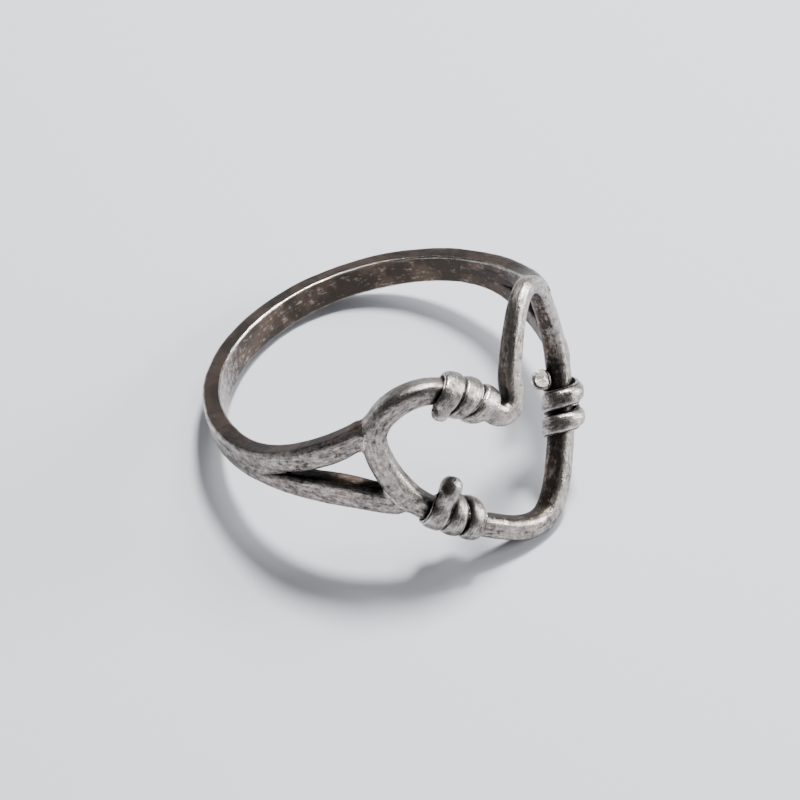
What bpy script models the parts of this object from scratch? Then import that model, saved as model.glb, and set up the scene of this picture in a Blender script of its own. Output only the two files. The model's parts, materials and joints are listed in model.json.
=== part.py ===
"""A wire heart finger ring in oxidised silver, resting as it lies on a table.

Every shape is worked out in the ring's own frame: +Z along the finger, +X out through the middle
of the heart, and angles counted round the finger from +X. An empty then lays the whole ring over,
so that it rests on the heart's point and on the back of the band, with the table at Z = 0.
"""

import math

import bmesh
import bpy
import numpy as np
from mathutils import Matrix, Vector

MM = 0.001

# Driving dimensions
BORE_RADIUS = 8.6 * MM  # inside of the band, a 17.2 mm finger
SHANK_WIDTH = 1.70 * MM
SHANK_THICKNESS = 1.06 * MM
INNER_CORNER = 0.10 * MM  # the crisp edges beside the finger
OUTER_CORNER = 0.24 * MM  # the softer edges outside
SEAM_ANGLE = 108.0  # where the band's ends are soldered to the two forks, in degrees
HEART_WIRE = 1.36 * MM
HEART_TILT = 7.0  # the right lobe sits this many degrees high
HEART_SHIFT = -0.18 * MM  # and the whole heart sits this far round from the middle
TILT_CENTRE = -0.7 * MM  # height of the point that the heart is tilted about
WRAP_WIDTH = 0.92 * MM  # the wrapping wire, rolled flat
WRAP_THICKNESS = 0.42 * MM
WRAP_SWING = 0.32  # it is this share thicker on its full side, and thinner on the other
STUB_DIAMETER = 1.00 * MM  # its cut ends are left round
JOINT_GAP = 0.04 * MM  # between neighbouring pieces
SOLDER = 0.16 * MM  # thickness of a soldered joint
REST_TILT = -20.15  # how far the ring's frame leans when it lies down, in degrees

# Half of the heart, from the cleft to the point: distance round the finger from the middle line,
# height along the finger, and distance from the finger's axis
FACE_RADIUS = 9.3 * MM  # distances round the finger are measured on this radius
HALF_HEART_MM = [
    (0.00, 0.86, 9.65),
    (0.55, 1.14, 9.60),
    (0.92, 1.95, 9.50),
    (1.89, 3.32, 9.34),
    (3.21, 4.34, 9.19),
    (4.85, 4.36, 9.10),
    (6.27, 3.40, 9.07),
    (6.68, 1.20, 9.07),
    (5.93, -1.50, 9.07),
    (4.39, -3.50, 9.06),
    (2.30, -5.72, 9.06),
    (1.00, -6.72, 9.08),
    (0.00, -7.02, 9.10),
]

# The four fork arms. Each station is its angle round the finger in degrees, its height and its
# distance from the finger's axis, its width along the finger and its thickness, all in mm.
ARMS_MM = {
    "left_upper_arm": [
        (-108.0, 0.475, 9.13, 0.75, 1.06),
        (-96.0, 0.54, 9.13, 0.80, 1.06),
        (-84.0, 0.71, 9.13, 0.98, 1.06),
        (-72.0, 1.06, 9.14, 1.28, 1.08),
        (-60.0, 1.60, 9.12, 1.44, 1.10),
        (-50.0, 2.32, 9.10, 1.46, 1.14),
        (-42.0, 3.08, 9.08, 1.40, 1.16),
    ],
    "left_lower_arm": [
        (-108.0, -0.475, 9.13, 0.75, 1.06),
        (-96.0, -0.50, 9.13, 0.80, 1.06),
        (-84.0, -0.52, 9.12, 0.98, 1.06),
        (-72.0, -0.58, 9.10, 1.42, 1.08),
        (-62.0, -0.78, 9.10, 1.60, 1.10),
        (-52.0, -1.27, 9.08, 1.56, 1.12),
        (-43.5, -1.88, 9.08, 1.42, 1.14),
        (-37.0, -2.20, 9.08, 1.30, 1.14),
    ],
    "right_upper_arm": [
        (108.0, 0.475, 9.13, 0.75, 1.06),
        (96.0, 0.50, 9.13, 0.80, 1.06),
        (84.0, 0.56, 9.10, 0.94, 1.06),
        (74.0, 0.76, 9.00, 1.08, 1.06),
        (62.0, 1.40, 8.84, 1.22, 1.04),
        (51.0, 2.40, 8.88, 1.26, 1.08),
        (41.0, 3.25, 9.05, 1.26, 1.14),
    ],
    "right_lower_arm": [
        (108.0, -0.475, 9.13, 0.75, 1.06),
        (97.0, -0.57, 9.13, 0.93, 1.06),
        (86.0, -0.84, 9.08, 1.24, 1.06),
        (75.0, -1.28, 8.92, 1.40, 1.06),
        (64.0, -1.55, 8.86, 1.40, 1.08),
        (53.0, -1.48, 8.90, 1.36, 1.12),
        (44.0, -1.08, 9.00, 1.28, 1.14),
        (37.5, -0.72, 9.07, 1.20, 1.14),
    ],
}
ARM_SECTIONS = 18
ROUND_FROM = 0.55  # share of an arm's length over which its flat-sided end turns round

FORK_SOLDER_TO = 85.0  # the fork is filled with solder from its seam to this angle
FORK_SOLDER_DEPTH = 0.84 * MM

# The wraps. The lay is the angle round the heart wire, in degrees: 0 in front, 90 inside the
# heart, 180 against the finger. A wrap runs from its first lay to its last, and where it passes
# the front for the first time it is this far along the heart wire from the cleft.
WRAPS = {
    "cleft_wrap": {
        "first": 36.0, "last": -860.0, "front_mm": 39.15, "pitch_mm": -1.04, "slant_mm": 0.18,
        "full_lay": 135.0, "stub_mm": 0.78, "lean": 0.0, "blunt": 0.72,
    },
    "point_wrap": {
        "first": 32.0, "last": -860.0, "front_mm": 28.60, "pitch_mm": 1.04, "slant_mm": -0.10,
        "full_lay": 120.0, "stub_mm": 1.85, "lean": 0.0, "blunt": 0.72,
    },
    "side_wrap": {
        "first": 140.0, "last": 900.0, "front_mm": 13.75, "pitch_mm": 1.25, "slant_mm": 0.0,
        "full_lay": 327.0, "stub_mm": 0.66, "lean": 0.0, "blunt": 0.92,
    },
}
WRAP_STEP = 24.0  # degrees of lay between two sections of a wrap
STUB_SHARES = (0.4, 0.85, 1.0)  # where a cut end has its sections, as shares of its length
HEART_JOINT_MM = 40.3  # the heart wire's two ends meet here, inside the cleft wrap
HEART_STEPS = 108
WRAP_CLEARANCE_MM = (27.2, 29.4)  # stretch of the heart wire that the point wrap covers

SILVER = (0.42, 0.40, 0.38, 1.0)
DARK_SILVER = (0.20, 0.19, 0.18, 1.0)
BRIGHT_SILVER = (0.62, 0.61, 0.59, 1.0)
SOLDER_GREY = (0.30, 0.29, 0.27, 1.0)


def start():
    """Clears the scene and returns the empty that lays the ring down, and the two collections."""
    for old in list(bpy.data.objects):
        bpy.data.objects.remove(old, do_unlink=True)
    parts = bpy.data.collections.new("heart_ring")
    cutters = bpy.data.collections.new("cutters")
    for collection in (parts, cutters):
        bpy.context.scene.collection.children.link(collection)
    lay_down = bpy.data.objects.new("lay_down", None)
    lay_down.empty_display_size = BORE_RADIUS
    lay_down.rotation_euler = (0.0, math.radians(REST_TILT), 0.0)
    parts.objects.link(lay_down)
    return lay_down, parts, cutters


LAY_DOWN, PARTS, CUTTERS = start()


def metal(name, colour, roughness):
    """A plain metal for one piece."""
    material = bpy.data.materials.new(name)
    material.use_nodes = True
    shader = material.node_tree.nodes["Principled BSDF"]
    shader.inputs["Base Color"].default_value = colour
    shader.inputs["Metallic"].default_value = 1.0
    shader.inputs["Roughness"].default_value = roughness
    return material


def add(name, data, colour, roughness=0.4, collection=PARTS):
    """Links an object for this data, with a material of its own, and lays it down."""
    piece = bpy.data.objects.new(name, data)
    data.materials.append(metal(name + "_metal", colour, roughness))
    collection.objects.link(piece)
    piece.parent = LAY_DOWN
    if collection is CUTTERS:
        piece.hide_render = True
        piece.display_type = "WIRE"
    return piece


# ---- curves and frames ----


def round_finger(angle, height, radius):
    """A point from its angle round the finger in radians."""
    return np.array([radius * math.cos(angle), radius * math.sin(angle), height])


def spline(knots, values, at, closed=False):
    """A smooth cubic through values at the knots, read at the places in at."""
    knots, values = np.asarray(knots, float), np.asarray(values, float)
    gaps = np.diff(knots)
    count = len(knots)
    matrix = np.zeros((count, count))
    right = np.zeros_like(values)
    slopes = np.diff(values, axis=0) / gaps[:, None]
    for i in range(1, count - 1):
        matrix[i, i - 1 : i + 2] = gaps[i - 1], 2 * (gaps[i - 1] + gaps[i]), gaps[i]
        right[i] = 6 * (slopes[i] - slopes[i - 1])
    if closed:
        matrix[0, 0], matrix[0, -1] = 1, -1
        matrix[-1, 0], matrix[-1, 1] = 2 * gaps[0], gaps[0]
        matrix[-1, -2], matrix[-1, -1] = gaps[-1], 2 * gaps[-1]
        right[-1] = 6 * (slopes[0] - slopes[-1])
    else:
        matrix[0, 0] = matrix[-1, -1] = 1
    bend = np.linalg.solve(matrix, right)
    at = np.asarray(at, float)
    span = np.clip(np.searchsorted(knots, at, side="right") - 1, 0, count - 2)
    gap = gaps[span][:, None]
    after = (at - knots[span])[:, None]
    before = gap - after
    return (
        (bend[span] * before**3 + bend[span + 1] * after**3) / (6 * gap)
        + (values[span] / gap - bend[span] * gap / 6) * before
        + (values[span + 1] / gap - bend[span + 1] * gap / 6) * after
    )


def lengths(points):
    """Distance along a line of points, at each point."""
    steps = np.linalg.norm(np.diff(points, axis=0), axis=1)
    return np.concatenate([[0.0], np.cumsum(steps)])


def heart_line():
    """The heart wire's centre line, once round from the cleft by the right lobe, closely spaced."""
    right = np.array(HALF_HEART_MM) * MM
    left = right[::-1][1:] * (-1, 1, 1)
    outline = np.concatenate([right, left])
    knots = lengths(outline[:, :2])
    flat = spline(knots, outline, np.linspace(0, knots[-1], 1601), closed=True)
    tilt = math.radians(HEART_TILT)
    up = flat[:, 1] - TILT_CENTRE
    across = math.cos(tilt) * flat[:, 0] - math.sin(tilt) * up + HEART_SHIFT
    height = math.sin(tilt) * flat[:, 0] + math.cos(tilt) * up + TILT_CENTRE
    return np.array(
        [
            round_finger(a / FACE_RADIUS, h, r)
            for a, h, r in zip(across, height, flat[:, 2], strict=True)
        ]
    )


HEART = heart_line()
HEART_ALONG = lengths(HEART)
HEART_LENGTH = HEART_ALONG[-1]


def heart_at(along):
    """A place on the heart wire's centre line, its direction, outward and into the heart."""

    def place(distance):
        distance = distance % HEART_LENGTH
        return np.array([np.interp(distance, HEART_ALONG, HEART[:, k]) for k in range(3)])

    step = 0.1 * MM
    centre = place(along)
    forward = place(along + step) - place(along - step)
    forward /= np.linalg.norm(forward)
    outward = centre * (1, 1, 0)
    outward -= forward * outward.dot(forward)
    outward /= np.linalg.norm(outward)
    return centre, forward, outward, np.cross(forward, outward)


# ---- meshes ----


def section(width, thickness, inner_corner, outer_corner, corner_points=3):
    """A rounded rectangle as (out, along) points, anticlockwise: thickness out, width along."""
    points = []
    corners = [
        (1, 1, outer_corner, 0.0),
        (-1, 1, inner_corner, 90.0),
        (-1, -1, inner_corner, 180.0),
        (1, -1, outer_corner, 270.0),
    ]
    for out, along, radius, first in corners:
        centre_out = out * (thickness / 2 - radius)
        centre_along = along * (width / 2 - radius)
        for k in range(corner_points):
            turn = math.radians(first + 90.0 * k / (corner_points - 1))
            points.append(
                (centre_out + radius * math.cos(turn), centre_along + radius * math.sin(turn))
            )
    return points


def loft(name, rings):
    """A closed skin over rings with equal numbers of points, with flat ends."""
    build = bmesh.new()
    rows = [[build.verts.new(Vector(point)) for point in ring] for ring in rings]
    for row, after in zip(rows, rows[1:]):
        for i in range(len(row)):
            j = (i + 1) % len(row)
            build.faces.new((row[i], row[j], after[j], after[i]))
    build.faces.new(rows[0][::-1])
    build.faces.new(rows[-1])
    bmesh.ops.recalc_face_normals(build, faces=build.faces)
    mesh = bpy.data.meshes.new(name)
    build.to_mesh(mesh)
    build.free()
    mesh.shade_smooth()
    mesh.set_sharp_from_angle(angle=math.radians(50))
    return mesh


def tube(name, points, radius, sides=3):
    """A round wire along points, as a mesh with welded caps. Sides is the bevel resolution."""
    curve = bpy.data.curves.new(name, "CURVE")
    curve.dimensions = "3D"
    line = curve.splines.new("POLY")
    line.points.add(len(points) - 1)
    for spot, point in zip(line.points, points, strict=True):
        spot.co = (*point, 1.0)
    curve.bevel_depth = radius
    curve.bevel_resolution = sides
    curve.use_fill_caps = True
    guide = bpy.data.objects.new(name + "_guide", curve)
    CUTTERS.objects.link(guide)
    bpy.context.view_layer.update()
    ready = guide.evaluated_get(bpy.context.evaluated_depsgraph_get())
    mesh = bpy.data.meshes.new_from_object(ready)
    mesh.name = name
    bpy.data.objects.remove(guide)
    bpy.data.curves.remove(curve)
    build = bmesh.new()
    build.from_mesh(mesh)
    bmesh.ops.remove_doubles(build, verts=build.verts, dist=1e-6)
    build.to_mesh(mesh)
    build.free()
    mesh.shade_smooth()
    mesh.set_sharp_from_angle(angle=math.radians(50))
    return mesh


def boolean(piece, cutter, operation="DIFFERENCE"):
    """Cuts a piece by another object, or keeps what the two share."""
    cut = piece.modifiers.new(operation.lower(), "BOOLEAN")
    cut.operation = operation
    cut.object = cutter
    cut.solver = "EXACT"


# ---- the band ----


def shank_ring(angle, width=SHANK_WIDTH, thickness=SHANK_THICKNESS):
    """The band's section standing at an angle round the finger, in degrees."""
    turn = math.radians(angle)
    middle = BORE_RADIUS + SHANK_THICKNESS / 2
    outline = section(width, thickness, INNER_CORNER, OUTER_CORNER)
    return [round_finger(turn, along, middle + out) for out, along in outline]


def shank():
    """The plain back of the band, from one fork seam to the other."""
    half_seam = math.degrees((SOLDER / 2 + JOINT_GAP) / BORE_RADIUS)
    angles = np.linspace(SEAM_ANGLE + half_seam, 360 - SEAM_ANGLE - half_seam, 27)
    add("shank", loft("shank", [shank_ring(a) for a in angles]), SILVER, 0.38)


def seam_solder(name, angle):
    """The thin solder seam between the band and a fork."""
    half = math.degrees(SOLDER / 2 / BORE_RADIUS)
    rings = [shank_ring(a) for a in (angle - half, angle + half)]
    add(name, loft(name, rings), SOLDER_GREY, 0.45)


# ---- the heart and the forks ----


def heart_tube(name, radius, first=0.0, last=None, steps=HEART_STEPS, sides=4):
    """A round tube on the heart's line, from one distance along it to another."""
    last = HEART_LENGTH if last is None else last
    places = np.linspace(first, last, steps)
    return tube(name, [heart_at(s)[0] for s in places], radius, sides)


def heart_wire():
    """The heart, bent from one round wire whose ends meet inside the cleft wrap."""
    first = HEART_JOINT_MM * MM + JOINT_GAP / 2 - HEART_LENGTH
    last = HEART_JOINT_MM * MM - JOINT_GAP / 2
    add("heart_wire", heart_tube("heart_wire", HEART_WIRE / 2, first, last), SILVER, 0.36)


def arm_rings(stations, grow=0.0, first=0.0, sections=ARM_SECTIONS):
    """An arm's sections along its stations. Grow makes each a little fatter."""
    table = np.array(stations)
    places = np.array([round_finger(math.radians(a), h * MM, r * MM) for a, h, r, _, _ in stations])
    knots = lengths(places)
    at = np.linspace(first * knots[-1], knots[-1], sections)
    centres = spline(knots, places, at)
    sizes = spline(knots, table[:, 3:5] * MM, at)
    ahead = spline(knots, places, np.minimum(at + 0.02 * MM, knots[-1]))
    behind = spline(knots, places, np.maximum(at - 0.02 * MM, 0))
    rings = []
    for spot, size, forward, place in zip(centres, sizes, ahead - behind, at, strict=True):
        forward /= np.linalg.norm(forward)
        outward = spot * (1, 1, 0)
        outward -= forward * outward.dot(forward)
        outward /= np.linalg.norm(outward)
        sideways = np.cross(forward, outward)
        if sideways[2] < 0:
            sideways = -sideways
        width, thickness = size[0] + grow, size[1] + grow
        roundness = min(1.0, place / knots[-1] / ROUND_FROM)
        most = 0.48 * min(width, thickness)
        inner = INNER_CORNER + (most - INNER_CORNER) * roundness
        outer = OUTER_CORNER + (most - OUTER_CORNER) * roundness
        outline = section(width, thickness, inner, outer)
        rings.append([spot + outward * out + sideways * along for out, along in outline])
    return rings


def seam_end(stations):
    """The same arm, started far enough from the seam to leave the solder its room."""
    angle, *rest = stations[0]
    room = math.degrees((SOLDER / 2 + JOINT_GAP) / BORE_RADIUS)
    return [(math.copysign(abs(angle) - room, angle), *rest), *stations[1:]]


def arm(name, stations, clearances):
    """One arm of a fork, coped to fit round the heart wire."""
    piece = add(name, loft(name, arm_rings(seam_end(stations))), SILVER, 0.38)
    for cutter in clearances:
        boolean(piece, cutter)


def arm_solder(name, stations, reach, core, clearances):
    """The ring of solder between an arm's end and the heart wire."""
    rings = arm_rings(stations, grow=0.10 * MM, first=0.80, sections=5)
    piece = add(name, loft(name, rings), SOLDER_GREY, 0.45)
    boolean(piece, reach, "INTERSECT")
    boolean(piece, core)
    for cutter in clearances:
        boolean(piece, cutter)


def heart_cutter(name, radius, *stretch):
    """A tube on the heart's line that cuts other pieces."""
    return add(name, heart_tube(name, radius, *stretch), DARK_SILVER, 0.5, CUTTERS)


def forks():
    """Four arms with their solder, and the solder that runs between each pair."""
    radius = HEART_WIRE / 2
    core = heart_cutter("heart_room", radius + JOINT_GAP)
    reach = heart_cutter("solder_reach", radius + JOINT_GAP + SOLDER)
    arm_room = heart_cutter("arm_room", radius + 2 * JOINT_GAP + SOLDER)
    wrap_reach = radius + WRAP_THICKNESS * (1 + WRAP_SWING) + 3 * JOINT_GAP
    first, last = (distance * MM for distance in WRAP_CLEARANCE_MM)
    wrap_room = heart_cutter("wrap_room", wrap_reach, first, last, 8)
    for name, stations in ARMS_MM.items():
        extra = [wrap_room] if name == "left_lower_arm" else []
        arm(name, stations, [arm_room, *extra])
        arm_solder(name + "_solder", stations, reach, core, extra)
    for side in ("left", "right"):
        upper, lower = ARMS_MM[side + "_upper_arm"], ARMS_MM[side + "_lower_arm"]
        fork_solder(side + "_fork_solder", upper, lower)


def fork_solder(name, upper, lower):
    """The solder that fills the closed end of a fork, between its two arms."""
    upper, lower = np.array(upper), np.array(lower)
    side = np.sign(upper[0, 0])
    angles = np.linspace(SEAM_ANGLE - 1.2, FORK_SOLDER_TO, 12)
    rings = []
    for angle in angles:
        height, radius, width, _ = spline(side * -upper[:, 0], upper[:, 1:], [-angle])[0]
        below, _, below_width, _ = spline(side * -lower[:, 0], lower[:, 1:], [-angle])[0]
        top = height - width / 2 - 1.3 * JOINT_GAP / MM
        bottom = below + below_width / 2 + 1.3 * JOINT_GAP / MM
        outline = section((top - bottom) * MM, FORK_SOLDER_DEPTH, 0.02 * MM, 0.02 * MM, 2)
        middle = (top + bottom) / 2 * MM
        turn = math.radians(side * angle)
        rings.append(
            [round_finger(turn, middle + along, radius * MM + out) for out, along in outline]
        )
    add(name, loft(name, rings), SOLDER_GREY, 0.45)


# ---- the wraps ----


def wrap_path(first, last, front_mm, pitch_mm, slant_mm, stub_mm, lean):
    """Places, lays, outward directions and stub shares along a wrap, its cut end first."""
    lays = np.linspace(first, last, int(abs(last - first) / WRAP_STEP) + 1)
    first_front = 360.0 * round(first / 360.0)

    def turn_place(lay):
        along = front_mm + pitch_mm * (lay - first_front) / 360.0
        along += slant_mm * math.sin(math.radians(lay))
        centre, forward, outward, inward = heart_at(along * MM)
        away = outward * math.cos(math.radians(lay)) + inward * math.sin(math.radians(lay))
        return centre + away * (HEART_WIRE / 2 + JOINT_GAP), away, forward

    start, away, forward = turn_place(first)
    way = 1.0 if last > first else -1.0
    heading = start - turn_place(first + way * 2.0)[0]
    heading = heading / np.linalg.norm(heading) + forward * lean
    stub = [
        (start + heading * stub_mm * MM * share, first, away, share) for share in STUB_SHARES
    ]
    return stub[::-1] + [(turn_place(lay)[0], lay, turn_place(lay)[1], 0.0) for lay in lays]


def wrap(name, full_lay, blunt, **shape):
    """A flattened wire wound round the heart wire, its round cut end sticking out."""
    path = wrap_path(**shape)
    places = np.array([place for place, _, _, _ in path])
    rings = []
    for i, (place, lay, away, stub_share) in enumerate(path):
        forward = places[min(i + 1, len(path) - 1)] - places[max(i - 1, 0)]
        forward /= np.linalg.norm(forward)
        away = away - forward * away.dot(forward)
        away /= np.linalg.norm(away)
        sideways = np.cross(forward, away)
        swell = min(1.0, 2 * stub_share)
        shrink = blunt if stub_share == 1.0 else 1.0
        flat = WRAP_THICKNESS * (1 + WRAP_SWING * math.cos(math.radians(lay - full_lay)))
        width = WRAP_WIDTH + (STUB_DIAMETER - WRAP_WIDTH) * swell
        thickness = flat + (STUB_DIAMETER - flat) * swell
        middle = thickness / 2
        width, thickness = width * shrink, thickness * shrink
        most = 0.46 * min(width, thickness)
        outline = section(width, thickness, most, most)
        rings.append(
            [place + away * (middle + out) + sideways * along for out, along in outline]
        )
    add(name, loft(name, rings), BRIGHT_SILVER, 0.34)


def main():
    """Makes every piece, then sets the ring on the table."""
    shank()
    seam_solder("left_seam_solder", -SEAM_ANGLE)
    seam_solder("right_seam_solder", SEAM_ANGLE)
    heart_wire()
    forks()
    for name, shape in WRAPS.items():
        wrap(name, **shape)
    set_on_table()


def set_on_table():
    """Moves the empty so that the lowest point is at Z = 0 and the ring is centred on the origin."""
    bpy.context.view_layer.update()
    deps = bpy.context.evaluated_depsgraph_get()
    low, high = Vector((1e9,) * 3), Vector((-1e9,) * 3)
    for piece in PARTS.objects:
        if piece.type == "MESH":
            ready = piece.evaluated_get(deps)
            for vertex in ready.data.vertices:
                place = piece.matrix_world @ vertex.co
                low = Vector(map(min, low, place))
                high = Vector(map(max, high, place))
    middle = (low + high) / 2
    LAY_DOWN.location = (-middle.x, -middle.y, -low.z)
    bpy.context.view_layer.update()
    print("size in mm", [round(side / MM, 2) for side in high - low])
    print("finger axis through", [round(x / MM, 3) for x in LAY_DOWN.location])
    print("finger axis along", list(Matrix(LAY_DOWN.matrix_world).col[2][:3]))


main()
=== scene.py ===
# %% [markdown]
# # A wire heart ring in oxidised silver
# The ring lies on its side on a pale table. Its maker forks a plain band into two arms on each
# side, bends a heart from round wire, solders it between the arms and lashes it in three places
# with a flattened wire. Then the silver is blackened and rubbed back by hand.
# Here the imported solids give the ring's place, and finer pieces are modelled over them.

import json
import math

import bpy
import numpy as np
from mathutils import Matrix, Vector, noise


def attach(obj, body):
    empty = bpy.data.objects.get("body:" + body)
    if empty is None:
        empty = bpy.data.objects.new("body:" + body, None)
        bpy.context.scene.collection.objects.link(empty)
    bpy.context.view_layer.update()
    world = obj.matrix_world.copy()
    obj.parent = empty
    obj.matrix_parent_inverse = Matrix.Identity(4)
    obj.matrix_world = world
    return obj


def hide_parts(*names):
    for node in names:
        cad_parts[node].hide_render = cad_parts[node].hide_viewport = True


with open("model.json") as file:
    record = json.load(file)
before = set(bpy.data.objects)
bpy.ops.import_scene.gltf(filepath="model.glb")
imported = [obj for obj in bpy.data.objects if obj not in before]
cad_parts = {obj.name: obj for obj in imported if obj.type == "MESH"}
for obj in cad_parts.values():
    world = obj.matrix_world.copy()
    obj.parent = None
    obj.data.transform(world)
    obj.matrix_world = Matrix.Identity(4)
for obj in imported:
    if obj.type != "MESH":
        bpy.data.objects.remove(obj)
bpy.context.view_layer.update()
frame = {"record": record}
MM = 0.001

# %% [markdown]
# ## The ring's own axes
# A ring is easiest to shape in its own frame: the finger runs along Z, and the heart faces X.
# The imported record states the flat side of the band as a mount, with its point and its direction.
# With that mount's place on the band, it is enough to find the ring's axis and centre.

# %% The ring's frame, from the band's flat side
band_side = next(m for m in frame["record"]["mounts"] if m["name"] == "band_side_up")
BAND_SIDE_MM = np.array([-9.06, 0.0, 0.85])
finger_axis = np.array(band_side["axis"]) / np.linalg.norm(band_side["axis"])
across_axis = np.array([0.0, 1.0, 0.0])
face_axis = np.cross(across_axis, finger_axis)
ring_axes = np.stack([face_axis, across_axis, finger_axis], axis=1)
ring_centre = np.array(band_side["pos_m"]) - ring_axes @ BAND_SIDE_MM * MM
print("ring centre in mm:", (ring_centre / MM).round(3))


def to_table(points_mm):
    """Points in the ring's frame, in mm, as places on the table in metres."""
    return ring_centre + np.asarray(points_mm) @ ring_axes.T * MM


# %% [markdown]
# ## Curves
# Wire and band both follow smooth lines. A natural cubic spline through a few chosen points gives
# the same even bend that springy metal takes, and a closed one has no kink where it meets itself.
# Blender's curve objects could do this too, but here the later steps need every section's frame.


# %% Smooth lines through a few points
def smooth(knots, values, at, closed=False):
    """A cubic spline through values at knots, read at the places in at."""
    knots, values, at = (np.asarray(x, float) for x in (knots, values, at))
    gaps, count = np.diff(knots), len(knots)
    slopes = np.diff(values, axis=0) / gaps[:, None]
    matrix, right = np.zeros((count, count)), np.zeros_like(values)
    for i in range(1, count - 1):
        matrix[i, i - 1 : i + 2] = gaps[i - 1], 2 * (gaps[i - 1] + gaps[i]), gaps[i]
        right[i] = 6 * (slopes[i] - slopes[i - 1])
    if closed:
        matrix[0, 0], matrix[0, -1] = 1, -1
        matrix[-1, 0], matrix[-1, 1] = 2 * gaps[0], gaps[0]
        matrix[-1, -2], matrix[-1, -1] = gaps[-1], 2 * gaps[-1]
        right[-1] = 6 * (slopes[0] - slopes[-1])
    else:
        matrix[0, 0] = matrix[-1, -1] = 1
    bend = np.linalg.solve(matrix, right)
    span = np.clip(np.searchsorted(knots, at, side="right") - 1, 0, count - 2)
    gap = gaps[span][:, None]
    after = (at - knots[span])[:, None]
    before = gap - after
    cubic = (bend[span] * before**3 + bend[span + 1] * after**3) / (6 * gap)
    start = (values[span] / gap - bend[span] * gap / 6) * before
    return cubic + start + (values[span + 1] / gap - bend[span + 1] * gap / 6) * after


def distance_along(points):
    """How far along a line of points each one is."""
    steps = np.linalg.norm(np.diff(points, axis=0), axis=1)
    return np.concatenate([[0.0], np.cumsum(steps)])


def round_finger(degrees, height, radius):
    """Places round the finger, counted in degrees from the middle of the heart."""
    turn = np.radians(degrees)
    return np.stack([radius * np.cos(turn), radius * np.sin(turn), height + 0 * turn], axis=-1)


# %% [markdown]
# ## Bars of silver
# Everything here is a bar that bends: the band, the four arms, the heart and the wraps. A bar is
# a line of sections, each a rounded rectangle whose inner corners, beside the finger, can be
# crisper than its outer ones. A crown lowers its outer edges, as on flattened wire. It also
# knows how far any point is from its skin. Solder needs that: it creeps into the corner between
# two pieces, which a distance to both of them can round off.

# %% A bent bar, its sections and its skin
POINTS_AT_ONCE = 2000  # measured together, to spare memory


def unit(vectors):
    """Vectors of length one."""
    return vectors / np.linalg.norm(vectors, axis=-1, keepdims=True)


class Bar:
    """A bent bar in the ring's frame, in mm. Thickness is away from the finger."""

    def __init__(self, centres, out, width, thickness, inner, outer, crown=0.0):
        count = len(centres)
        self.centres = centres
        self.forward = unit(np.gradient(centres, axis=0))
        out = out - self.forward * np.sum(out * self.forward, axis=1, keepdims=True)
        self.out = unit(out)
        self.side = np.cross(self.forward, self.out)
        ones = np.ones(count)
        self.width, self.thickness, self.crown = width * ones, thickness * ones, crown * ones
        most = 0.498 * np.minimum(self.width, self.thickness)
        self.inner = np.minimum(inner * ones, most)
        self.outer = np.minimum(outer * ones, most)

    def skin(self, corner=7, flat=4):
        """Rings of points, one for each section, all anticlockwise from the same corner."""
        rings = []
        corners = ((1, 1, 0), (-1, 1, 90), (-1, -1, 180), (1, -1, 270))
        turns = np.radians(np.linspace(0, 90, corner))
        for i, centre in enumerate(self.centres):
            outline = []
            for out, side, first in corners:
                radius = self.outer[i] if out > 0 else self.inner[i]
                middle_out = out * (self.thickness[i] / 2 - radius)
                middle_side = side * (self.width[i] / 2 - radius)
                angle = turns + math.radians(first)
                outline.append(
                    np.stack(
                        [
                            middle_out + radius * np.cos(angle),
                            middle_side + radius * np.sin(angle),
                        ],
                        axis=1,
                    )
                )
            ring = []
            for k, arc in enumerate(outline):
                ring.extend(arc)
                start, end = arc[-1], outline[(k + 1) % 4][0]
                ring.extend(start + (end - start) * s for s in np.linspace(0, 1, flat + 2)[1:-1])
            ring = np.array(ring)
            drop = self.crown[i] * self.thickness[i] * (2 * ring[:, 1] / self.width[i]) ** 2
            ring[:, 0] -= drop * (ring[:, 0] > 0)
            rings.append(centre + ring[:, :1] * self.out[i] + ring[:, 1:] * self.side[i])
        return np.array(rings)

    def distance(self, points):
        """How far points are outside the skin, and below zero how deep they are inside."""
        result = np.empty(len(points))
        for part in np.array_split(np.arange(len(points)), max(1, len(points) // POINTS_AT_ONCE)):
            here = points[part]
            gap = np.linalg.norm(here[:, None] - self.centres[None], axis=2)
            near = gap.argmin(axis=1)
            offset = here - self.centres[near]
            out = np.sum(offset * self.out[near], axis=1)
            side = np.abs(np.sum(offset * self.side[near], axis=1))
            radius = np.where(out > 0, self.outer[near], self.inner[near])
            past_out = np.abs(out) - (self.thickness[near] / 2 - radius)
            past_side = side - (self.width[near] / 2 - radius)
            corner = np.hypot(np.maximum(past_out, 0), np.maximum(past_side, 0))
            inside = np.minimum(np.maximum(past_out, past_side), 0)
            across = corner + inside - radius
            beyond = np.sum(offset * self.forward[near], axis=1)
            at_end = ((near == 0) & (beyond < 0)) | ((near == len(self.centres) - 1) & (beyond > 0))
            past_end = np.where(at_end, np.abs(beyond), 0.0)
            outside = np.hypot(past_end, np.maximum(across, 0))
            result[part] = np.where(past_end > 0, np.maximum(outside, across), across)
        return result


# %% [markdown]
# ## Solder in the corners
# Molten solder is drawn into a joint and leaves a small hollow curve. A rounded minimum of two
# distances has just that shape. Each piece's own points near a neighbour are moved out to it, so
# the two pieces stay separate and closed, yet meet in one soft surface. A Boolean with a bevel
# could do it, but such bevels fail where an arm runs almost along the wire, as it does here.


# %% Move a skin out into the solder between pieces
SLOPE_STEP = 0.02  # mm to either side, to find which way a joint's surface faces
BURIED = 0.10  # mm inside a neighbour, where a skin is left as it is


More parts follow.
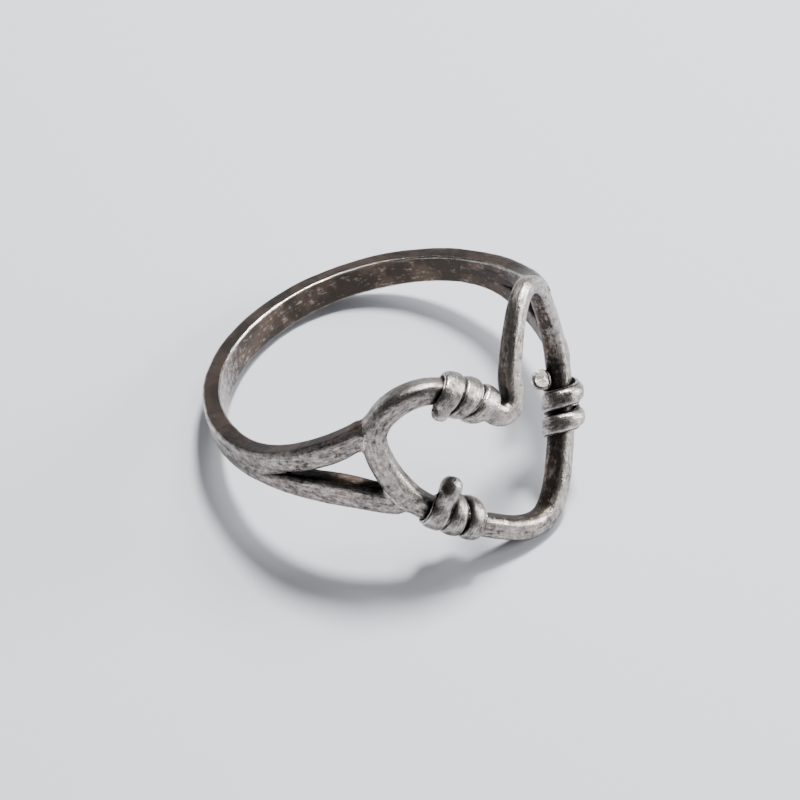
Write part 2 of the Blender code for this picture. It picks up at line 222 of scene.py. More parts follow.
def soldered(points, own, others, reach):
    """Points of own's skin, moved out to the hollow curve that it makes with its neighbours."""
    points = points.copy()
    shape = points.shape
    points = points.reshape(-1, 3)
    for other in others:
        near = np.abs(other.distance(points)) < 1.6 * reach
        if not near.any():
            continue
        here = points[near]

        def joint(places):
            mine, theirs = own.distance(places), other.distance(places)
            overlap = np.maximum(reach - np.abs(mine - theirs), 0) / reach
            return np.minimum(mine, theirs) - overlap**2 * reach / 4, theirs

        for _ in range(3):
            value, theirs = joint(here)
            slope = np.zeros_like(here)
            for axis in range(3):
                step = np.zeros(3)
                step[axis] = SLOPE_STEP
                rise = joint(here + step)[0] - joint(here - step)[0]
                slope[:, axis] = rise / (2 * SLOPE_STEP)
            slope /= np.maximum(np.linalg.norm(slope, axis=1, keepdims=True), 0.3)
            outside = np.clip((theirs + BURIED) / BURIED, 0, 1)
            here = here - slope * (np.minimum(value, 0) * outside)[:, None]
        points[near] = here
    return points.reshape(shape)


# %% [markdown]
# ## Hand-made, not machined
# Filing and hammering leave a bar a few hundredths of a millimetre uneven. Gentle noise along the
# skin's own direction gives that, in the geometry itself, so that highlights wander as they do on
# worn silver. It depends only on the place, so two pieces that meet still meet afterwards.

# %% Turn rings of points into a named piece
SHARP_ANGLE = math.radians(48)  # edges that turn more than this are shaded sharp


def uneven(rings, amount):
    """Rings pushed in and out a little by smooth noise, in mm, and in more than out."""
    ahead = np.gradient(rings, axis=0)
    around = np.roll(rings, -1, axis=1) - np.roll(rings, 1, axis=1)
    away = np.cross(around, ahead)
    size = np.linalg.norm(away, axis=2, keepdims=True)
    away = away / np.maximum(size, 1e-9)
    middle = rings.mean(axis=1, keepdims=True)
    flip = np.sign(np.sum(away * (rings - middle), axis=(1, 2)))[:, None, None]
    push = np.zeros(rings.shape[:2])
    for i, j in np.ndindex(push.shape):
        place = Vector(rings[i, j])
        push[i, j] = noise.noise(place * 0.55) + 0.35 * noise.noise(place * 1.9)
        push[i, j] += 0.12 * noise.noise(place * 5.0) - 0.7
    return rings + away * flip * (push * amount)[:, :, None]


def crispness(rings):
    """How sharply a skin turns at each point of its sections, in 1/mm. It is below 0 in hollows."""
    before, after = rings - np.roll(rings, 1, axis=1), np.roll(rings, -1, axis=1) - rings
    long_before, long_after = (np.linalg.norm(v, axis=2, keepdims=True) for v in (before, after))
    turn = before / np.maximum(long_before, 1e-6) - after / np.maximum(long_after, 1e-6)
    turn = turn / np.maximum((long_before + long_after) / 2, 0.02)
    outward = rings - rings.mean(axis=1, keepdims=True)
    return np.linalg.norm(turn, axis=2) * np.sign(np.sum(turn * outward, axis=2))


def piece_from(name, rings, bare_edges):
    """A closed, smooth mesh over rings, with its edges and a map of mm along and around on it."""
    count, around = rings.shape[:2]
    verts = to_table(rings.reshape(-1, 3))
    ends = to_table(np.stack([rings[0].mean(axis=0), rings[-1].mean(axis=0)]))
    verts = np.concatenate([verts, ends])
    first_end, last_end = count * around, count * around + 1
    faces = []
    for i in range(count - 1):
        for j in range(around):
            k = (j + 1) % around
            a, b = i * around, (i + 1) * around
            faces.append((a + j, a + k, b + k, b + j))
    last = (count - 1) * around
    for j in range(around):
        k = (j + 1) % around
        faces.append((j, first_end, k))
        faces.append((last + k, last_end, last + j))
    mesh = bpy.data.meshes.new(name)
    mesh.from_pydata([tuple(v) for v in verts], [], faces)
    along = distance_along(rings.mean(axis=1))
    girth = distance_along(np.concatenate([rings[count // 2], rings[count // 2][:1]]))
    layer = mesh.uv_layers.new(name="along_and_around")
    for face in mesh.polygons:
        last_column = any(v < first_end and v % around == around - 1 for v in face.vertices)
        for corner, vertex in zip(face.loop_indices, face.vertices):
            if vertex >= first_end:
                spot = (along[0] if vertex == first_end else along[-1], 0.0)
            else:
                i, j = divmod(vertex, around)
                turn = girth[around] if last_column and j == 0 else girth[j]
                spot = (along[i], turn)
            layer.data[corner].uv = spot
    sharp = mesh.attributes.new("crispness", "FLOAT", "POINT")
    sharp.data.foreach_set("value", np.append((crispness(rings) * bare_edges).ravel(), (0.0, 0.0)))
    inside_out = signed_volume(verts, faces) < 0
    if inside_out:
        mesh.flip_normals()
    mesh.shade_smooth()
    mesh.set_sharp_from_angle(angle=SHARP_ANGLE)
    piece = bpy.data.objects.new(name, mesh)
    bpy.context.scene.collection.objects.link(piece)
    size = (verts.max(axis=0) - verts.min(axis=0)) / MM
    print(name, "faces:", len(mesh.polygons), "size in mm:", size.round(2))
    return piece


def signed_volume(verts, faces):
    """The volume inside the faces, below zero if they face in."""
    total = 0.0
    for face in faces:
        a = verts[face[0]]
        for b, c in zip(face[1:], face[2:]):
            total += np.dot(a, np.cross(verts[b], verts[c]))
    return total / 6


# %% [markdown]
# ## The band
# The back of the ring is a plain strip, 1.7 mm wide and about 1 mm thick, with its edges eased
# outside and left crisp beside the finger. It stops at two seams, where the forks are soldered on.

# %% Sizes of the band
BORE = 8.60
BAND_WIDTH, BAND_THICKNESS = 1.70, 1.06
BAND_MIDDLE = BORE + BAND_THICKNESS / 2
INNER_CORNER, OUTER_CORNER = 0.13, 0.27
SEAM = 108.0
SEAM_ROOM = 0.30  # degrees from the middle of a seam to the band's end


def arc_bar(first, last, sections, width=BAND_WIDTH, thickness=BAND_THICKNESS):
    """A stretch of the plain band between two angles."""
    angles = np.linspace(first, last, sections)
    centres = round_finger(angles, 0.0 * angles, BAND_MIDDLE)
    return Bar(centres, centres * (1, 1, 0), width, thickness, INNER_CORNER, OUTER_CORNER)


band_bar = arc_bar(SEAM + SEAM_ROOM, 360 - SEAM - SEAM_ROOM, 380)
print("band runs for mm:", distance_along(band_bar.centres)[-1].round(2))

# %% [markdown]
# ## The heart
# One piece of round wire is bent to a heart and curved to lie round the finger.
# Half a heart is enough to draw, because the other half is its mirror image. Then the whole of it
# is tipped 7 degrees, as it sits on the ring, and laid round the finger.

# %% The heart wire's line
HEART_WIRE = 1.36  # before it is hammered and rubbed thinner
HEART_TILT, TILT_CENTRE, HEART_SHIFT, FACE_RADIUS = math.radians(7.0), -0.7, -0.18, 9.3
HALF_HEART = np.array(
    [
        (0.00, 0.86, 9.65),
        (0.55, 1.14, 9.60),
        (0.92, 1.95, 9.50),
        (1.89, 3.32, 9.34),
        (3.21, 4.34, 9.19),
        (4.85, 4.36, 9.10),
        (6.27, 3.40, 9.07),
        (6.68, 1.20, 9.07),
        (5.93, -1.50, 9.07),
        (4.39, -3.50, 9.06),
        (2.30, -5.72, 9.06),
        (1.00, -6.72, 9.08),
        (0.00, -7.02, 9.10),
    ]
)


def heart_line(samples=1601):
    """The heart wire's centre line, once round from the cleft by the right lobe."""
    outline = np.concatenate([HALF_HEART, HALF_HEART[::-1][1:] * (-1, 1, 1)])
    knots = distance_along(outline[:, :2])
    flat = smooth(knots, outline, np.linspace(0, knots[-1], samples), closed=True)
    up = flat[:, 1] - TILT_CENTRE
    across = math.cos(HEART_TILT) * flat[:, 0] - math.sin(HEART_TILT) * up + HEART_SHIFT
    height = math.sin(HEART_TILT) * flat[:, 0] + math.cos(HEART_TILT) * up + TILT_CENTRE
    return round_finger(np.degrees(across / FACE_RADIUS), height, flat[:, 2])


HEART = heart_line()
HEART_ALONG = distance_along(HEART)
HEART_LENGTH = HEART_ALONG[-1]


def heart_at(along):
    """A place on the heart's line, its direction, outward and into the heart."""

    def place(distance):
        distance = distance % HEART_LENGTH
        return np.array([np.interp(distance, HEART_ALONG, HEART[:, k]) for k in range(3)])

    centre = place(along)
    forward = unit(place(along + 0.1) - place(along - 0.1))
    outward = centre * (1, 1, 0)
    outward = unit(outward - forward * outward.dot(forward))
    return centre, forward, outward, np.cross(forward, outward)


print("heart wire is mm long:", round(HEART_LENGTH, 2))

# %% [markdown]
# The wire's ends meet under the wrap beside the cleft, where nobody sees them. The wire has been
# hammered and rubbed, so its section is a little square, and it is thinnest round the right lobe,
# where it was drawn tight over the mandrel.

# %% The heart wire as a bar
HEART_JOINT, JOINT_GAP, HEART_SECTIONS = 40.3, 0.02, 520
LOBE_LIFT, LIMB_TUCK = 0.36, 0.26  # the right lobe's top lies further out, its limb further in
LOBE_AT, LOBE_SPREAD, LIMB_AT, LIMB_SPREAD = 6.3, 1.15, 9.4, 2.0
HEART_INNER, HEART_OUTER = 0.36, 0.33  # corner radii, as shares of the wire's thickness
LOBE_STATIONS = np.array([0.0, 2.0, 5.0, 9.0, 12.0, 15.0, 18.0, 24.0, 30.0, HEART_LENGTH])
LOBE_WIDTHS = np.array([1.20, 1.12, 0.98, 1.04, 1.16, 1.28, 1.32, 1.22, 1.28, 1.20])[:, None]
heart_places = np.linspace(
    HEART_JOINT + JOINT_GAP - HEART_LENGTH, HEART_JOINT - JOINT_GAP, HEART_SECTIONS
)
heart_frames = [heart_at(s) for s in heart_places]
from_cleft = heart_places % HEART_LENGTH
heart_round = smooth(LOBE_STATIONS, LOBE_WIDTHS, from_cleft)[:, 0]
apex = LOBE_LIFT * np.exp(-((from_cleft - LOBE_AT) / LOBE_SPREAD) ** 2)
apex -= LIMB_TUCK * np.exp(-((from_cleft - LIMB_AT) / LIMB_SPREAD) ** 2)
heart_bar = Bar(
    np.array([f[0] for f in heart_frames]) - apex[:, None] * np.array([f[3] for f in heart_frames]),
    np.array([f[2] for f in heart_frames]),
    heart_round,
    heart_round,
    HEART_INNER * heart_round,
    HEART_OUTER * heart_round,
)
print("heart wire, thinnest and thickest:", heart_round.min().round(2), heart_round.max().round(2))

# %% [markdown]
# ## The fork arms
# Each side of the band splits into an upper and a lower arm. Each arm is drawn as stations: its
# angle round the finger, its height, its distance from the finger's axis, its width and its
# thickness. The flat sides of the band run on along the arms and fade as these turn rounder.

# %% Stations of the four arms, in degrees and mm
ARMS = {
    "left_upper_arm": [
        (-108.0, 0.475, 9.13, 0.75, 1.06),
        (-96.0, 0.54, 9.13, 0.80, 1.06),
        (-84.0, 0.71, 9.13, 0.98, 1.06),
        (-72.0, 1.06, 9.14, 1.28, 1.08),
        (-60.0, 1.60, 9.12, 1.44, 1.10),
        (-50.0, 2.22, 9.10, 1.32, 1.14),
        (-43.0, 2.92, 9.10, 1.08, 1.12),
        (-37.5, 3.68, 9.12, 0.86, 1.06),
    ],
    "left_lower_arm": [
        (-108.0, -0.475, 9.13, 0.75, 1.06),
        (-96.0, -0.50, 9.13, 0.80, 1.06),
        (-84.0, -0.52, 9.12, 0.98, 1.06),
        (-72.0, -0.58, 9.10, 1.42, 1.08),
        (-62.0, -0.78, 9.10, 1.60, 1.10),
        (-52.0, -1.27, 9.08, 1.56, 1.12),
        (-43.5, -1.88, 9.08, 1.42, 1.14),
        (-37.0, -2.20, 9.08, 1.30, 1.14),
    ],
    "right_upper_arm": [
        (108.0, 0.475, 9.13, 0.75, 1.06),
        (96.0, 0.50, 9.13, 0.80, 1.06),
        (84.0, 0.56, 9.10, 0.94, 1.06),
        (74.0, 0.76, 9.00, 1.08, 1.06),
        (62.0, 1.36, 8.84, 1.16, 1.00),
        (52.0, 2.08, 8.82, 1.00, 0.94),
        (46.5, 2.50, 8.90, 0.84, 0.88),
    ],
    "right_lower_arm": [
        (108.0, -0.475, 9.13, 0.75, 1.06),
        (97.0, -0.57, 9.13, 0.93, 1.06),
        (86.0, -0.84, 9.08, 1.24, 1.06),
        (75.0, -1.28, 8.92, 1.40, 1.06),
        (64.0, -1.55, 8.86, 1.40, 1.08),
        (53.0, -1.48, 8.90, 1.36, 1.12),
        (44.0, -1.08, 9.00, 1.28, 1.14),
        (37.5, -0.72, 9.07, 1.20, 1.14),
    ],
}


ARM_SECTIONS = 150
TUCKED_SHARE, TUCKED_AT, TUCKED_OVER = 0.62, 0.05, 0.55  # how thin, and mm from the wire's line
INNER_GROWTH, OUTER_GROWTH = 0.22, 0.20  # how much rounder the corners are at an arm's end


def arm_bar(stations):
    """An arm as a bar. Its last stretch, inside the heart wire, is drawn thinner."""
    table = np.array(stations)
    table[0, 0] -= math.copysign(SEAM_ROOM, table[0, 0])
    places = round_finger(table[:, 0], table[:, 1], table[:, 2])
    knots = distance_along(places)
    at = np.linspace(0, knots[-1], ARM_SECTIONS)
    centres = smooth(knots, places, at)
    width, thickness = smooth(knots, table[:, 3:5], at).T
    to_wire = np.array([np.linalg.norm(HEART - c, axis=1).min() for c in centres])
    taper = np.clip((to_wire - TUCKED_AT) / TUCKED_OVER, 0, 1)
    taper = TUCKED_SHARE + (1 - TUCKED_SHARE) * taper * taper * (3 - 2 * taper)
    share = at / knots[-1]
    inner, outer = INNER_CORNER + INNER_GROWTH * share, OUTER_CORNER + OUTER_GROWTH * share
    out = centres * (1, 1, 0)
    return Bar(centres, out, width * taper, thickness * taper, inner, outer)


arm_bars = {name: arm_bar(stations) for name, stations in ARMS.items()}
print({name: round(distance_along(bar.centres)[-1], 2) for name, bar in arm_bars.items()})

# %% [markdown]
# ## Making the band, the arms and the heart
# Solder joins the arms to the heart wire, and each pair of arms to each other at the fork's closed
# end. The right upper arm is the exception: here it stops 0.7 mm short of the wire, behind the
# lobe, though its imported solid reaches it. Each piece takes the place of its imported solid, and
# each arm also of the solder that should show as the soft curve at its end.

# %% The silver pieces under the wraps
ARM_SOLDER, FORK_SOLDER, UNEVENNESS = 0.32, 0.36, 0.028
EDGE_OPENS = 0.30  # an arm's edges wear bare from this far from its partner, in mm
pieces = {}


def make(name, rings, slot, *nodes, bare_edges=1.0):
    """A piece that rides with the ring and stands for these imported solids."""
    piece = piece_from(name, rings, bare_edges)
    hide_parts(*nodes)
    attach(piece, "root")
    pieces[name] = piece


make("band", uneven(band_bar.skin(), UNEVENNESS), "band_silver", "shank")
for name, bar in arm_bars.items():
    partner = name.replace("upper", "lower") if "upper" in name else name.replace("lower", "upper")
    rings = soldered(bar.skin(), bar, [arm_bars[partner]], FORK_SOLDER)
    rings = soldered(rings, bar, [heart_bar], ARM_SOLDER)
    from_partner = arm_bars[partner].distance(rings.reshape(-1, 3)).reshape(rings.shape[:2])
    open_edges = np.clip((from_partner - EDGE_OPENS) / EDGE_OPENS, 0, 1)
    rings = uneven(rings, UNEVENNESS)
    make(name + "_silver", rings, "band_silver", name, name + "_solder", bare_edges=open_edges)
heart_rings = soldered(heart_bar.skin(), heart_bar, list(arm_bars.values()), ARM_SOLDER)
make("heart_silver", uneven(heart_rings, UNEVENNESS), "wire_silver", "heart_wire")

# %% [markdown]
# ## Seams and fork fillings
# Where the band's ends meet the forks, a hairline of solder shows. Between the two arms of each
# fork, solder fills the slit flush near the seam, and sinks away towards the place where they
# part.

# %% Solder seams and fork fillings
SEAM_HALF, SEAM_SUNK = 0.9, 0.006  # degrees to each side of a seam, and mm below the band
SINK_FROM, FILL_TO = 90.0, 76.0  # the filling sinks between the arms over these angles
FILL_PROUD, FILL_SINKS = 0.004, 0.72  # mm over the band's thickness, and mm that it thins by
FILL_LAP, LAP_SHRINKS = 0.62, 0.42  # mm that the filling laps into the arms, first and lost


def seam(name, angle, node):
    """A line of solder across the band, a hair below its surface."""
    width, thickness = BAND_WIDTH - SEAM_SUNK, BAND_THICKNESS - SEAM_SUNK
    bar = arc_bar(angle - SEAM_HALF, angle + SEAM_HALF, 19, width, thickness)
    make(name, uneven(bar.skin(), UNEVENNESS), "solder", node)


def fork_filling(name, upper, lower, node):
    """The solder strip between two arms, from the seam to where they part."""
    upper, lower = np.array(upper), np.array(lower)
    way = np.sign(upper[0, 0])
    angles = np.linspace(SEAM - SEAM_ROOM, FILL_TO, 90)
    top = smooth(-way * upper[:, 0], upper[:, 1:4], -angles)
    bottom = smooth(-way * lower[:, 0], lower[:, 1:4], -angles)
    high, low = top[:, 0] - top[:, 2] / 2, bottom[:, 0] + bottom[:, 2] / 2
    centres = round_finger(way * angles, (high + low) / 2, top[:, 1])
    sinking = np.clip((SINK_FROM - angles) / (SINK_FROM - FILL_TO), 0, 1) ** 1.4
    thickness = BAND_THICKNESS + FILL_PROUD - FILL_SINKS * sinking
    lap = FILL_LAP - LAP_SHRINKS * sinking
    bar = Bar(centres, centres * (1, 1, 0), high - low + lap, thickness, 0.02, 0.02)
    make(name, uneven(bar.skin(3, 5), UNEVENNESS), "band_silver", node, bare_edges=0.0)


for side_name, way in (("left", -1), ("right", 1)):
    seam(side_name + "_seam", way * SEAM, side_name + "_seam_solder")
    upper, lower = ARMS[side_name + "_upper_arm"], ARMS[side_name + "_lower_arm"]
    fork_filling(side_name + "_fork_filling", upper, lower, side_name + "_fork_solder")

# %% [markdown]
# ## The wraps
# Each wrap is a length of wire, rolled flat and wound a little over twice round the heart wire.
# Its cut end is left round and sticks out like a barb. The lay is the angle round the heart wire:
# 0 in front, 90 inside the heart, 180 against the finger. A wrap is thicker on its full side,
# where the wire stood off before it was hammered down.

# %% Wind the wraps
WRAP_WIDTH, WRAP_THICKNESS, WRAP_SWING, CROWN = 0.99, 0.44, 0.32, 0.27
WRAP_GAP, TURN_RADIUS = 0.02, 0.9  # from the wire's skin, and of one turn's middle line
LAY_STEP, BARB_SECTIONS, SWELL_RATE = 3.0, 24, 1.6
NARROWS_OVER = 260.0  # degrees in which a wrap goes from its first width to its usual one
END_CLOSES = 0.35  # mm in which the tucked end closes
WRAPS = {
    "cleft_wrap": dict(
        first=36, last=-860, front=39.15, pitch=-1.04, slant=0.0, full=135, barb=0.78,
        wide=1.00, high=0.74, blunt=0.0, first_width=1.12,
    ),
    "point_wrap": dict(
        first=32, last=-860, front=28.60, pitch=1.04, slant=-0.10, full=120, barb=1.85,
        wide=1.16, high=1.10, blunt=0.0, first_width=1.14,
    ),
    "side_wrap": dict(
        first=140, last=900, front=13.75, pitch=1.25, slant=0.0, full=327, barb=0.62,
        wide=1.06, high=1.06, blunt=0.84, first_width=1.08,
    ),
}


def wrap_place(lay, way):
    """A place on the heart wire's skin under a wrap, and its outward direction."""
    first_front = 360.0 * round(way["first"] / 360.0)
    along = way["front"] + way["pitch"] * (lay - first_front) / 360.0
    along += way["slant"] * math.sin(math.radians(lay))
    centre, _, outward, inward = heart_at(along)
    away = outward * math.cos(math.radians(lay)) + inward * math.sin(math.radians(lay))
    return centre + away * (HEART_WIRE / 2 + WRAP_GAP), away


def wrap_bar(way):
    """A wrap as a bar, from its barb to its tucked end."""
    turning = 1.0 if way["last"] > way["first"] else -1.0
    lays = np.arange(way["first"], way["last"], turning * LAY_STEP)
    start, away = wrap_place(way["first"], way)
    heading = unit(start - wrap_place(way["first"] + turning * 2.0, way)[0])
    rows = []
    for share in np.linspace(1.0, 0.04, BARB_SECTIONS):
        swell = min(1.0, SWELL_RATE * share)
        swell = swell * swell * (3 - 2 * swell)
        left = (1.0 - share) * way["barb"]
        dome = way["wide"] / 2 * (1 - way["blunt"])
        shrink = math.sqrt(max(0.0, 1 - (1 - min(1.0, left / max(dome, 0.06))) ** 2))
        shrink = max(shrink, way["blunt"] * 0.9 + 0.02)
        rows.append((start + heading * way["barb"] * share, way["first"], away, swell, shrink))
    for lay in lays:
        place, away = wrap_place(lay, way)
        left = abs(way["last"] - lay) / 360 * 2 * math.pi * TURN_RADIUS
        shrink = math.sqrt(max(0.0, 1 - (1 - min(1.0, left / END_CLOSES)) ** 2))
        rows.append((place, lay, away, 0.0, max(shrink, 0.05)))
    centres, outs, widths, thicks, crowns = [], [], [], [], []
    for place, lay, away, swell, shrink in rows:
        flat = WRAP_THICKNESS * (1 + WRAP_SWING * math.cos(math.radians(lay - way["full"])))
        turned = min(1.0, abs(lay - way["first"]) / NARROWS_OVER)
        wide = WRAP_WIDTH * (way["first_width"] + (1 - way["first_width"]) * turned)
        width = wide + (way["wide"] - wide) * swell
        thickness = flat + (way["high"] - flat) * swell
        centres.append(place + away * thickness / 2)
        outs.append(away)
        widths.append(width * shrink)
        thicks.append(thickness * shrink)
        crowns.append(CROWN * (1 - swell))
    widths, thicks = np.array(widths), np.array(thicks)
    outs, crowns = np.array(outs), np.array(crowns)
    return Bar(np.array(centres), outs, widths, thicks, 0.40 * thicks, 0.49 * thicks, crowns)


for name, way in WRAPS.items():
    rings = uneven(wrap_bar(way).skin(6, 3), 0.03)
    make(name + "_wire", rings, "wrap_silver", name)

# %% [markdown]
# ## Oxidised silver
# The finished ring is dipped until it is black and then rubbed. Crowns and edges come back bright
# and faintly brushed, flats stay brownish grey, partly as real film and partly as a painted
# reflection of a brown surrounding, and everything that a cloth can't reach stays nearly black:
# between the turns, in the forks and beside the solder. Inside the band, the far part of the bore
# gets painted shade and its near side painted light. One recipe with a few numbers covers every
# piece. Coordinates are in mm, so each noise has the grain of the real one.


# %% The recipe for rubbed silver
class Nodes:
    """Short ways to add shader nodes to a material."""

    def __init__(self, material):
        self.tree = material.node_tree

    def add(self, kind, **settings):
        node = self.tree.nodes.new(kind)
        for name, value in settings.items():
            setattr(node, name, value)
        return node

    def put(self, socket, value):
        if isinstance(value, bpy.types.NodeSocket):
            self.tree.links.new(value, socket)
        else:
            socket.default_value = value

    def math(self, operation, a, b=0.0, clamp=False):
        node = self.add("ShaderNodeMath", operation=operation, use_clamp=clamp)
        self.put(node.inputs[0], a)
        self.put(node.inputs[1], b)
        return node.outputs[0]

    def fit(self, value, low, high, to_low=0.0, to_high=1.0):
        node = self.add("ShaderNodeMapRange", interpolation_type="SMOOTHSTEP")
        for socket, number in zip(node.inputs, (value, low, high, to_low, to_high)):
            self.put(socket, number)
        return node.outputs[0]

    def around(self, value, strength):
        return self.math("MULTIPLY", self.math("SUBTRACT", value, 0.5), strength)

    def vector(self, operation, a, b=(0, 0, 0), scale=1.0):
        node = self.add("ShaderNodeVectorMath", operation=operation)
        self.put(node.inputs[0], a)
        if operation == "SCALE":
            self.put(node.inputs["Scale"], scale)
        else:
            self.put(node.inputs[1], b)
        return node.outputs["Value" if operation == "DOT_PRODUCT" else "Vector"]

    def noise(self, where, scale, detail, roughness=0.5):
        node = self.add("ShaderNodeTexNoise")
        self.put(node.inputs["Vector"], where)
        self.put(node.inputs["Scale"], scale)
        self.put(node.inputs["Detail"], detail)
        self.put(node.inputs["Roughness"], roughness)
        return node.outputs["Fac"]

    def mix(self, share, a, b):
        node = self.add("ShaderNodeMix", data_type="RGBA")
        self.put(node.inputs[0], share)
        self.put(node.inputs[6], a)
        self.put(node.inputs[7], b)
        return node.outputs[2]


def rubbed_silver(name, bare, oxide, brown, rubbed, flat_film_and_brown_reflection=0.0, painted_bore_light_and_shade=0.0, sheltered=0.0):
    """Oxidised silver. Rubbed is how much of the black a cloth took off, from 0 to 1.

    The next three weights leave more of it on flat sides, where the brown film is partly real
    and partly a painted reflection of a brown surrounding, as painted shade in the far part of the
    bore, with painted light on its near side, and where a cloth can't get at."""
    material = bpy.data.materials.new(name)
    material.use_nodes = True
    n = Nodes(material)
    shader = material.node_tree.nodes["Principled BSDF"]
    spot = n.add("ShaderNodeTexCoord").outputs["Object"]
    in_mm = n.vector("SCALE", spot, scale=1000.0)
    strip = n.add("ShaderNodeUVMap", uv_map="along_and_around").outputs[0]
    patches = n.noise(in_mm, 0.60, 3.0)
    clouds = n.noise(in_mm, 3.2, 7.0, 0.66)
    grain = n.noise(in_mm, 13.0, 5.0, 0.6)
    streaks = n.noise(n.vector("MULTIPLY", strip, (1.6, 7.0, 1.0)), 1.0, 5.0, 0.6)
    hidden = n.add("ShaderNodeAmbientOcclusion", samples=8)
    n.put(hidden.inputs["Distance"], 0.0016)
    open_sky = n.fit(hidden.outputs["AO"], 0.50, 0.96)
    geometry = n.add("ShaderNodeNewGeometry")
    normal = geometry.outputs["Normal"]
    crisp = n.add("ShaderNodeAttribute", attribute_name="crispness").outputs["Fac"]
    edge = n.fit(crisp, 2.4, 7.0)

    along_finger = n.vector("DOT_PRODUCT", normal, tuple(finger_axis))
    flat_side = n.fit(n.math("ABSOLUTE", along_finger), 0.80, 0.96)
    from_axis = n.vector("SUBTRACT", spot, tuple(ring_centre))
    outward = n.math("MULTIPLY", n.vector("DOT_PRODUCT", normal, from_axis), 1.0 / (9.0 * MM))
    bore = n.fit(outward, -0.45, -0.85)
    away_from_cloth = n.fit(outward, 0.45, -0.15)
    place = n.add("ShaderNodeSeparateXYZ")
    n.put(place.inputs[0], in_mm)
    # Painted shade over the far part of the bore, and painted light on its near side.
    painted_shading_across_bore = n.fit(place.outputs["Y"], -8.0, -2.0, -0.4, 1.0)
    bore_painted_shading = n.math("MULTIPLY", bore, n.math("MULTIPLY", painted_shading_across_bore, painted_bore_light_and_shade))

    mottle = n.math("ADD", n.around(clouds, 1.7), n.around(streaks, 1.3))
    mottle = n.math("ADD", mottle, n.math("ADD", n.around(patches, 0.5), n.around(grain, -0.6)))
    calm = n.math("SUBTRACT", 1.0, n.math("MULTIPLY", flat_side, 0.6))
    wear = n.math("ADD", rubbed, n.math("MULTIPLY", mottle, calm))
    # Flat sides keep more film: partly real brown film, partly a painted reflection of a brown
    # surrounding.
    wear = n.math("SUBTRACT", wear, n.math("MULTIPLY", flat_side, flat_film_and_brown_reflection))
    wear = n.math("SUBTRACT", wear, n.math("MULTIPLY", away_from_cloth, sheltered))
    # Painted shade in the far part of the bore, painted light on its near side.
    wear = n.math("SUBTRACT", wear, bore_painted_shading)
    wear = n.math("ADD", wear, n.math("MULTIPLY", edge, 0.75))
    wear = n.math("MULTIPLY", wear, n.math("ADD", n.math("MULTIPLY", open_sky, 0.92), 0.08))
    wear = n.math("ADD", wear, 0.0, clamp=True)
    film = n.mix(n.fit(patches, 0.40, 0.62), oxide, brown)
    film = n.mix(n.math("MULTIPLY", n.math("SUBTRACT", 1.0, open_sky), 0.85), film, BLACK)
    n.put(shader.inputs["Base Color"], n.mix(wear, film, bare))
    n.put(shader.inputs["Metallic"], 1.0)
    rough = n.math("ADD", n.fit(wear, 0.0, 1.0, 0.34, 0.11), n.math("MULTIPLY", grain, 0.14))
    n.put(shader.inputs["Roughness"], rough)
    bump = n.add("ShaderNodeBump")
    height = n.math("ADD", n.math("MULTIPLY", grain, 0.5), n.math("MULTIPLY", streaks, 0.7))
    n.put(bump.inputs["Height"], n.math("ADD", height, clouds))
    n.put(bump.inputs["Strength"], 0.6)
    n.put(bump.inputs["Distance"], 0.00006)
    n.put(shader.inputs["Normal"], bump.outputs[0])
    return material


# %% [markdown]
# The band and arms keep more of the brown film, above all on their flat sides, where it is partly
# real and partly a painted reflection of a brown surrounding. The heart is rubbed brighter, and the
# wraps brightest, because they stand proud. Solder is greyer and duller.

# %% Finishes for this ring
BARE, WRAP_BARE = (0.66, 0.61, 0.56, 1), (0.70, 0.66, 0.61, 1)
OXIDE, BROWN, BLACK = (0.050, 0.041, 0.034, 1), (0.098, 0.070, 0.055, 1), (0.010, 0.009, 0.009, 1)
finishes = {
    # The band and the solder get painted shade in the far part of the bore and painted light on its
    # near side.
    "band_silver": rubbed_silver(
        "band_silver", BARE, OXIDE, BROWN, 0.35, flat_film_and_brown_reflection=0.46, painted_bore_light_and_shade=0.46
    ),
    "wire_silver": rubbed_silver("wire_silver", BARE, OXIDE, BROWN, 0.39, sheltered=0.38),
    "wrap_silver": rubbed_silver("wrap_silver", WRAP_BARE, OXIDE, BROWN, 0.38),
    "solder": rubbed_silver("solder", BARE, OXIDE, OXIDE, 0.30, flat_film_and_brown_reflection=0.4, painted_bore_light_and_shade=0.45),
}
FINISH_OF = {"seam": "solder", "filling": "solder", "wire": "wrap_silver", "heart": "wire_silver"}
for name, piece in pieces.items():
    finish = next((f for key, f in FINISH_OF.items() if key in name), "band_silver")
    piece.data.materials.append(finishes[finish])
print("finished:", {name: piece.data.materials[0].name for name, piece in pieces.items()})

# %% [markdown]
# ## Table, light and camera
# A pale matt table that runs off in all directions, a small soft light high above the ring, a
# large low one behind it on the right that edges the wires, and a dim wide one high behind. The
# lens is long, as for all small things.

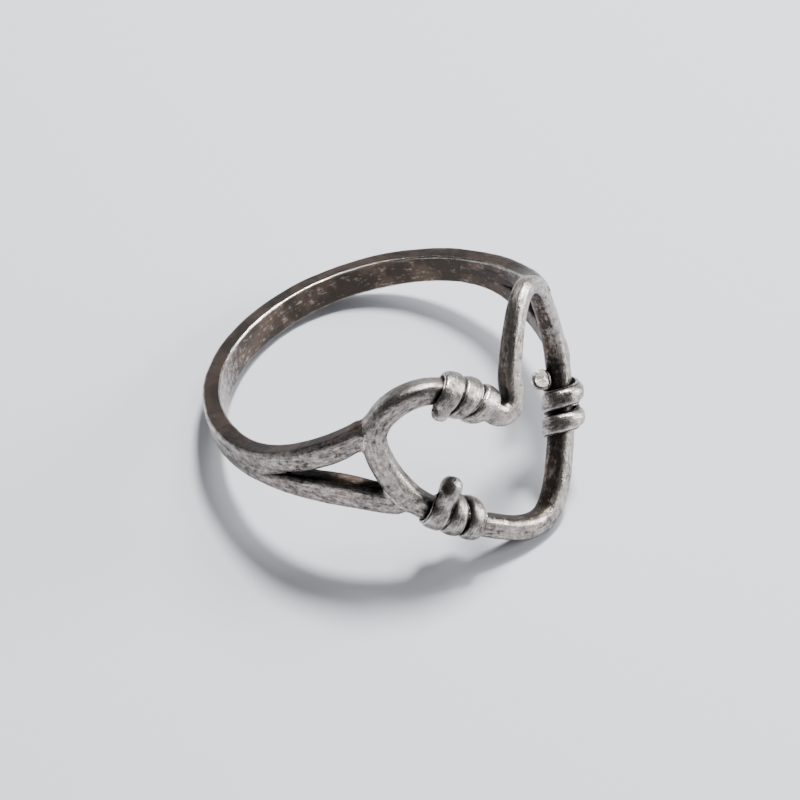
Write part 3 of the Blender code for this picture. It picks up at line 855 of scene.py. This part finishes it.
# %% The table
bpy.ops.mesh.primitive_plane_add(size=3.0, location=(0, 0, 0))
table = bpy.context.object
table.name = "table"
paper = bpy.data.materials.new("pale_table")
paper.use_nodes = True
table_nodes = Nodes(paper)
table_shader = paper.node_tree.nodes["Principled BSDF"]
table_nodes.put(table_shader.inputs["Base Color"], (0.53, 0.54, 0.585, 1))
table_nodes.put(table_shader.inputs["Roughness"], 0.7)
table.data.materials.append(paper)


# %% Lights
def soft_light(name, place, size, power):
    """A round softbox at a place in metres, turned to the middle of the table."""
    data = bpy.data.lights.new(name, "AREA")
    data.shape, data.size, data.energy = "DISK", size, power
    lamp = bpy.data.objects.new(name, data)
    lamp.location = place
    lamp.rotation_euler = (-Vector(place)).to_track_quat("-Z", "Y").to_euler()
    bpy.context.scene.collection.objects.link(lamp)


soft_light("window", (-0.049, 0.110, 0.270), 0.06, 2.15)
soft_light("right_softbox", (0.256, 0.312, 0.140), 0.20, 2.9)
soft_light("ceiling", (0.007, 0.283, 0.350), 0.20, 1.3)
world = bpy.data.worlds.new("studio")
world.use_nodes = True
background = world.node_tree.nodes["Background"]
background.inputs["Color"].default_value = (0.80, 0.82, 0.86, 1)
background.inputs["Strength"].default_value = 0.08
bpy.context.scene.world = world

# %% Camera
CAMERA_MM = Vector((60.02, -63.36, 106.62))
AIM_MM = Vector((1.003, -1.045, 4.0))
ROLL = math.radians(1.345)
lens = bpy.data.cameras.new("camera")
lens.lens, lens.sensor_width = 117.0, 36.0
camera = bpy.data.objects.new("camera", lens)
look = (AIM_MM - CAMERA_MM).to_track_quat("-Z", "Y").to_matrix()
camera.matrix_world = Matrix.Translation(CAMERA_MM * MM) @ (
    look @ Matrix.Rotation(ROLL, 3, "Z")
).to_4x4()
lens.clip_start, lens.clip_end = 0.001, 20.0
bpy.context.scene.collection.objects.link(camera)
bpy.context.scene.camera = camera

# %% [markdown]
# ## Measure and finish
# The fine model keeps to the imported one's box. Only the top of the right lobe stands about a
# tenth of a millimetre above it.

# %% Update the scene
bpy.context.view_layer.update()
